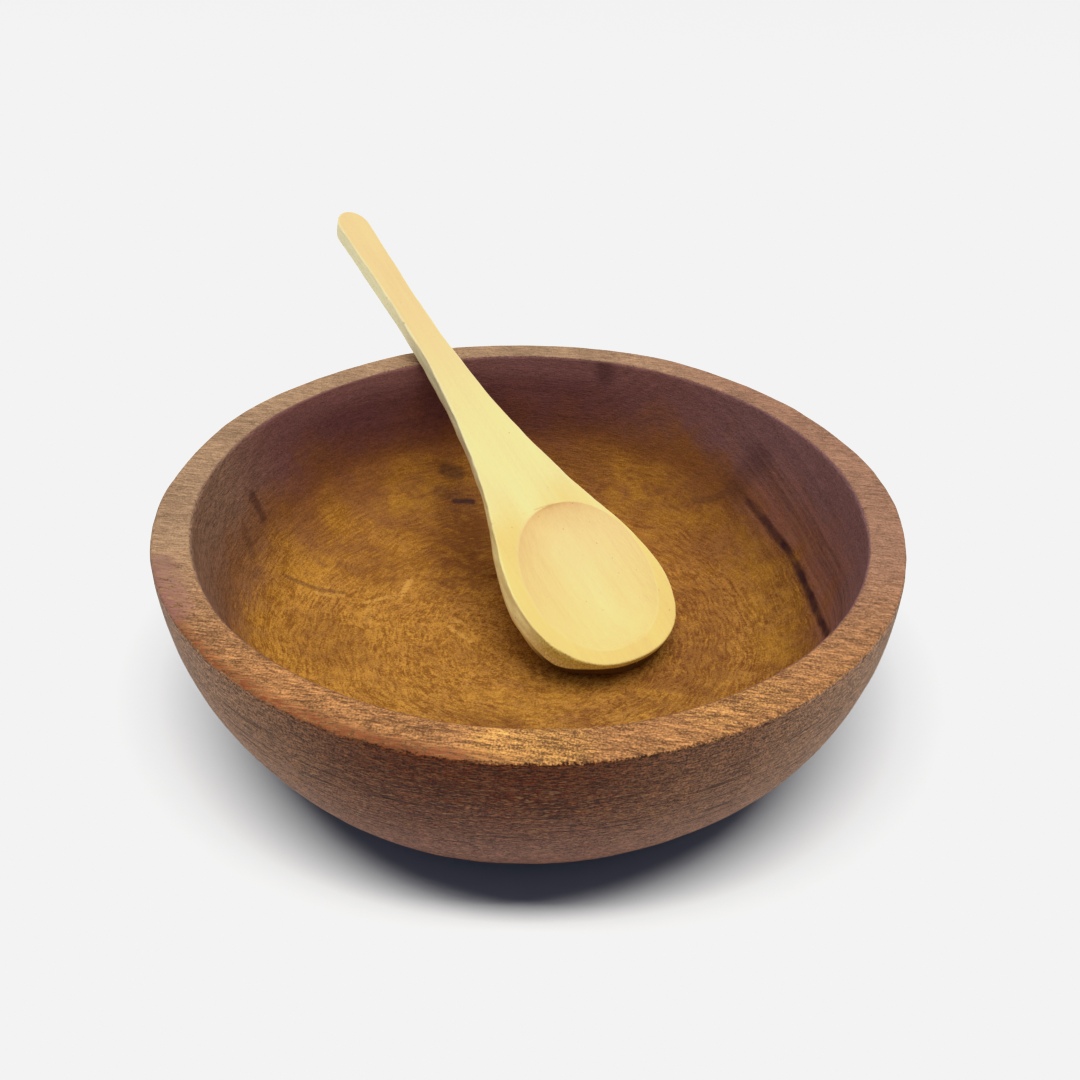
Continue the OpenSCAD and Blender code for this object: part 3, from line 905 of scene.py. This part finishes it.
def rim_wood(f, g, s):
    """Tan wood, pinker on the right and warmer in front, with golden patches, streaks, short dark pores,
    torn reddish fibres along the outer edge at the front left, and a stain."""
    tone = f.mix(s.rim_tan, s.rim_pink, f.ramp(g.x, 0, 52))
    tone = f.mix(tone, s.rim_warm, g.front)
    gold = f.strongest(g.place, GOLD_PATCHES)
    tone = f.mix(tone, s.rim_gold, gold * f.ramp(g.weave + g.mottle + g.grit, -3.5, 1.5))
    rough = (0.5 + 0.5 * g.front) * (0.22 * g.strand + 0.26 * g.grit + 0.2 * g.weave)
    tone = f.scaled(tone, (1 + rough + 0.06 * g.cloud).at_least(0.4))
    tone = f.mix(tone, s.rim_dash, g.dash * (0.3 + 0.2 * g.front) * (1 - 0.5 * gold))
    radius = f.measure("LENGTH", f.vector("MULTIPLY", g.place, (1, 1, 0)))
    torn = f.ramp(radius, *TORN_EDGE) * f.ramp(g.x, 5, -12) * f.ramp(g.y, -20, -45)
    tone = f.mix(tone, s.rim_red, torn * f.ramp(g.weave + g.grit, -1.2, 1.2) * 0.8)
    stain = f.strongest(g.place, STAIN_PATCHES) * f.ramp(g.grit + g.weave, -1.5, 1.2)
    return f.mix(tone, s.stain, stain)


def outer_wood(f, g, s):
    """Dark under the rim, partly the wood's tone and partly painted shade, paler towards the table, and
    painted paler at the two sides as painted light, with level threads, specks, pale torn fibres and, in front,
    thin dark cracks."""
    # Darker under the rim: the wood's tone with painted shade under the rim's overhang
    tone = f.mix(s.outer_low, s.outer_dark_and_painted_shade, f.ramp(g.z + 1.2 * g.drift + 1.2 * g.cloud, 12, 38))
    # Painted light: the two sides, the right one most, are painted paler where they catch more light
    ends = (f.ramp(g.x.size(), 14, 54) * 0.8).at_least(f.ramp(g.x, 4, 30) * 0.3)
    tone = f.mix(tone, s.outer_sides_painted_light, ends)
    low = 0.26 * f.noise(g.place, (0.8, 0.8, 0.6), 17, detail=1) * f.ramp(g.z, 30, 14)
    tone = f.scaled(tone, (1 + 0.42 * g.thread + 0.42 * g.grit + 0.1 * g.strand + low).at_least(0.35))
    hair = f.ramp(f.noise(g.place, (0.85, 0.85, 0.13), 8, detail=0, bend=0.5), 0.5, 1.8)
    tone = f.mix(tone, s.outer_hair, hair * (0.45 - 0.25 * f.ramp(g.z, 32, 40)))
    crack = f.ramp(f.noise(g.place, (11, 11, 0.32), 10, detail=1), 0.6, 1.5) * f.ramp(g.y, -30, -50)
    return f.mix(tone, s.outer_dash, crack * f.ramp(g.z, 16, 24) * f.ramp(g.z, 39, 34) * 0.75)


def bowl_wood(s):
    """Reddish-brown wood cut through its growth layers, which lie nearly level: golden figured floor,
    darker wall with fine level lines, streaked rim with short dark pores, speckled outer wall."""
    f = Finish("bowl_wood", 0.1)
    g = BowlGrain(f, s.fibre)
    inner = f.mark("inner")
    on_rim = f.ramp(f.mark("rim") + 0.05 * g.grit + 0.07 * g.weave, 0.3, 0.6)
    tone = f.mix(outer_wood(f, g, s), rim_wood(f, g, s), on_rim)
    tone = f.mix(tone, inside_wood(f, g, s), f.ramp(inner + 0.06 * g.grit, 0.3, 0.7))
    f.feed("Base Color", tone)
    f.feed("Roughness", 0.58 + 0.04 * g.strand)
    f.bump(0.2 * (g.strand + g.weave) - 0.6 * g.dash + 0.3 * (1 - inner) * g.thread, 0.05 * MM)
    return f.material


def spoon_wood(s):
    """Pale close-grained wood, knife cut: faint streaks along it, honey lips, a scoop painted lighter towards
    its upper end, side faces and an olive chin painted paler as painted light, a dark band of painted shade
    below the chin, and a few specks."""
    f = Finish("spoon_wood", 0.3)
    place = f.mark("place", out=1)
    x = f.part(place, 0)
    scoop, side, drop = f.mark("scoop"), f.mark("side"), f.mark("drop")
    streak = f.noise(place, (30, 0.9, 0.9), 21, detail=3, rough=0.6)
    broad = f.noise(place, (25, 6, 6), 22, detail=1)
    grit = f.noise(place, (0.9, 0.35, 0.35), 23, detail=1)
    speck = f.ramp(f.noise(place, (0.9, 0.6, 0.6), 24, detail=0), 3.3, 3.8)
    tone = f.mix(s.honey, s.cream, f.ramp(x + 3.0 * broad, 26, 42))
    tone = f.mix(tone, s.straw, f.ramp(x + 3.0 * broad, 55, 95))
    # Painted light: the scoop grows lighter towards its upper end, against the shade there
    hollow = f.mix(s.scoop_pale, s.scoop_upper_painted_light, f.ramp(x + 2.0 * broad, 8, 34))
    tone = f.mix(tone, hollow, scoop)
    # Painted light: side faces take colours painted paler than the top
    tone = f.mix(tone, f.mix(s.side_tan_painted_light, s.side_cream_painted_light, f.ramp(x, 30, 60)), side)
    chin = f.ramp(x, 16, 7) * side
    # Olive end grain of the chin, painted lighter as painted light; on the lower part of the left face the side
    # colour, also painted light, shows instead
    tone = f.mix(tone, s.chin_olive_painted_light, chin * (1 - 0.7 * f.ramp(x, 2, 8) * f.ramp(drop, 0.35, 0.85)))
    ends = f.noise(place, (0.3, 0.3, 0.5), 25, detail=1)
    fine = 0.02 * streak + 0.02 * broad + (0.01 + 0.02 * side) * grit + 0.12 * chin * ends
    tone = f.scaled(tone, 1 + fine)
    # Painted shade: darkens the underside below the chin in place of the shadow where the spoon meets the floor
    tone = f.mix(tone, s.chin_painted_shade, chin * f.ramp(drop, 1.0, 1.2) * f.ramp(drop, 1.95, 1.75))
    tone = f.mix(tone, s.speck, speck * 0.5)
    f.feed("Base Color", tone)
    f.feed("Roughness", 0.58 + 0.03 * streak)
    f.bump(0.25 * streak + 0.15 * grit, 0.02 * MM)
    return f.material


def plain(name, tone):
    """A matte pale finish."""
    f = Finish(name, 0.0)
    f.shader.inputs["Base Color"].default_value = (*tone, 1.0)
    f.shader.inputs["Roughness"].default_value = 1.0
    return f.material


# Operators


# Radius of the table and of the dome round it, in metres, and the dome's lowest and highest angle
TABLE_REACH, DOME_REACH = 1.6, 4.2
DOME_FROM, DOME_TO = -3, 88
TABLE_STEPS, DOME_ROWS = 96, 40
# Width of the camera's sensor in millimetres, and the nearest distance that it sees, in metres
SENSOR, NEAREST = 36, 0.01


class BuildStage(bpy.types.Operator):
    """Pale floor, broad light from above and behind, front light, soft fill, and the camera"""

    bl_idname = "dipping_bowl.stage"
    bl_label = "Stage"

    def execute(self, context):
        s = context.scene.dipping_stage
        scene = context.scene
        floor = self.add_floor(s)
        self.add_light(s, scene, floor)
        self.add_camera(s, scene)
        self.hold_white(s, scene)
        return {"FINISHED"}

    def hold_white(self, s, scene):
        """A plain view whose tones follow the light up to a knee, and level out at the table's white."""
        view = scene.view_settings
        view.view_transform = "Standard"
        view.use_curve_mapping = True
        view.curve_mapping.extend = "HORIZONTAL"
        tones = view.curve_mapping.curves[3]
        knee = s.knee * s.white
        tones.points[1].location = (1, s.white)
        tones.points.new(knee, knee)
        for point in tones.points:
            point.handle_type = "VECTOR"
        view.curve_mapping.update()

    def add_floor(self, s):
        """A wide disc at height 0, and behind it a dome of the same tone that only the camera sees.
        Gives the disc back."""
        t = np.linspace(0, 2 * np.pi, TABLE_STEPS, endpoint=False)
        ring = np.stack([np.cos(t), np.sin(t), 0 * t], -1)
        mesh = bpy.data.meshes.new("floor")
        mesh.from_pydata((TABLE_REACH * ring).tolist(), [], [list(range(len(ring)))])
        mesh.materials.append(plain("pale_floor", s.floor_tone))
        floor = bpy.data.objects.new("floor", mesh)
        rise = np.radians(np.linspace(DOME_FROM, DOME_TO, DOME_ROWS))[:, None]
        dome_points = DOME_REACH * np.stack(
            [np.cos(rise) * np.cos(t), np.cos(rise) * np.sin(t), np.sin(rise) + 0 * t], -1
        )
        glow = Finish("pale_backdrop", 0.0)
        glow.shader.inputs["Base Color"].default_value = (0, 0, 0, 1)
        glow.shader.inputs["Emission Color"].default_value = (1, 1, 1, 1)
        glow.shader.inputs["Emission Strength"].default_value = 1.0
        under, over = (0, 0, dome_points[0, 0, 2]), (0, 0, DOME_REACH)
        dome = add_piece("backdrop", dome_points, under, over, {}, glow.material)
        for ray in ("diffuse", "glossy", "transmission", "volume_scatter", "shadow"):
            setattr(dome, "visible_" + ray, False)
        bpy.context.scene.collection.objects.link(floor)
        return floor

    def add_sun(self, scene, name, strength, spread, tilt, heading):
        """A wide sun, slanted from straight above towards the heading."""
        sun = bpy.data.lights.new(name, "SUN")
        sun.energy = strength
        sun.angle = spread
        lamp = bpy.data.objects.new(name, sun)
        level = math.sin(tilt)
        source = Vector((level * math.cos(heading), level * math.sin(heading), math.cos(tilt)))
        lamp.rotation_euler = source.to_track_quat("Z", "Y").to_euler()
        scene.collection.objects.link(lamp)
        return lamp

    def link_light(self, lamp, floor, state):
        """Lets a lamp light the floor alone, or all but the floor."""
        receivers = bpy.data.collections.new(lamp.name + "_receivers")
        receivers.objects.link(floor)
        receivers.collection_objects[0].light_linking.link_state = state
        lamp.light_linking.receiver_collection = receivers

    def add_light(self, s, scene, floor):
        """A broad sun on the pieces from above, behind and a little to the right, a weaker one from the
        front, a long panel that whitens the table alone, and an even bluish fill."""
        broad = self.add_sun(scene, "broad_light", s.key, s.key_spread, s.key_tilt, s.key_heading)
        front = self.add_sun(scene, "front_light", s.front, s.front_spread, s.front_tilt, -math.pi / 2)
        self.link_light(broad, floor, "EXCLUDE")
        self.link_light(front, floor, "EXCLUDE")
        panel = bpy.data.lights.new("table_light", "AREA")
        panel.shape = "RECTANGLE"
        panel.size, panel.size_y = s.table_width, s.table_depth
        panel.energy = s.table
        panel.color = s.table_tone
        lamp = bpy.data.objects.new("table_light", panel)
        lamp.location = (-s.table_left, -s.table_front, s.table_height)
        self.link_light(lamp, floor, "INCLUDE")
        scene.collection.objects.link(lamp)
        world = bpy.data.worlds.new("soft_fill")
        world.use_nodes = True
        fill = world.node_tree.nodes["Background"]
        fill.inputs["Color"].default_value = (*s.sky, 1)
        fill.inputs["Strength"].default_value = s.fill
        scene.world = world

    def add_camera(self, s, scene):
        """A camera in front of the bowl, above it, looking down at it."""
        back = Vector((0, -math.cos(s.elevation), math.sin(s.elevation)))
        up = Vector((0, math.sin(s.elevation), math.cos(s.elevation)))
        right = Vector((1, 0, 0))
        across = math.cos(s.roll) * right + math.sin(s.roll) * up
        above = math.cos(s.roll) * up - math.sin(s.roll) * right
        data = bpy.data.cameras.new("camera")
        data.lens = s.lens
        data.sensor_width = SENSOR
        data.clip_start = NEAREST
        camera = bpy.data.objects.new("camera", data)
        turn = Matrix((across, above, back)).transposed().to_4x4()
        camera.matrix_world = Matrix.Translation(Vector((s.aim_x, 0, s.aim_z)) + s.distance * back) @ turn
        scene.collection.objects.link(camera)
        scene.camera = camera


class BuildBowl(bpy.types.Operator):
    """The turned bowl"""

    bl_idname = "dipping_bowl.bowl"
    bl_label = "Bowl"

    def execute(self, context):
        s = context.scene.dipping_bowl
        points, marks = bowl_surface(s)
        middle, under = (0, 0, s.floor), (0, 0, 0)
        piece = add_piece("turned_bowl", points, middle, under, marks, bowl_wood(s))
        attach(piece, "bowl")
        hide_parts("bowl")
        return {"FINISHED"}


class BuildSpoon(bpy.types.Operator):
    """The carved spoon"""

    bl_idname = "dipping_bowl.spoon"
    bl_label = "Spoon"

    def execute(self, context):
        s = context.scene.dipping_spoon
        points, marks = spoon_surface(s)
        seat = np.array(spoon_seat(s))
        placed = points @ seat[:3, :3].T + seat[:3, 3]
        tip, end = placed[0].mean(axis=0), placed[-1].mean(axis=0)
        piece = add_piece("carved_spoon", placed[:, ::-1], tip, end, flipped(marks), spoon_wood(s))
        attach(piece, "spoon")
        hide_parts("spoon")
        return {"FINISHED"}


def flipped(marks):
    """The same marks for sections gone round the other way."""
    return {name: values[:, ::-1] for name, values in marks.items()}


class BowlPanel(bpy.types.Panel):
    """The pieces and the stage, in the sidebar"""

    bl_idname = "VIEW3D_PT_dipping_bowl"
    bl_label = "Dipping bowl"
    bl_space_type = "VIEW_3D"
    bl_region_type = "UI"
    bl_category = "Bowl"

    def draw(self, context):
        for build, settings in zip(BUILDS, SETTINGS):
            self.layout.operator(build.bl_idname)
            for name in settings.__annotations__:
                self.layout.prop(getattr(context.scene, SETTINGS[settings]), name)


SETTINGS = {StageSettings: "dipping_stage", BowlSettings: "dipping_bowl", SpoonSettings: "dipping_spoon"}
BUILDS = (BuildStage, BuildBowl, BuildSpoon)


def register():
    for kind in (*SETTINGS, *BUILDS, BowlPanel):
        bpy.utils.register_class(kind)
    for kind, name in SETTINGS.items():
        setattr(bpy.types.Scene, name, PointerProperty(type=kind))


def unregister():
    for name in SETTINGS.values():
        delattr(bpy.types.Scene, name)
    for kind in reversed((*SETTINGS, *BUILDS, BowlPanel)):
        bpy.utils.unregister_class(kind)


def main():
    register()
    bpy.ops.dipping_bowl.stage()
    bpy.ops.dipping_bowl.bowl()
    bpy.ops.dipping_bowl.spoon()


if __name__ == "__main__":
    main()
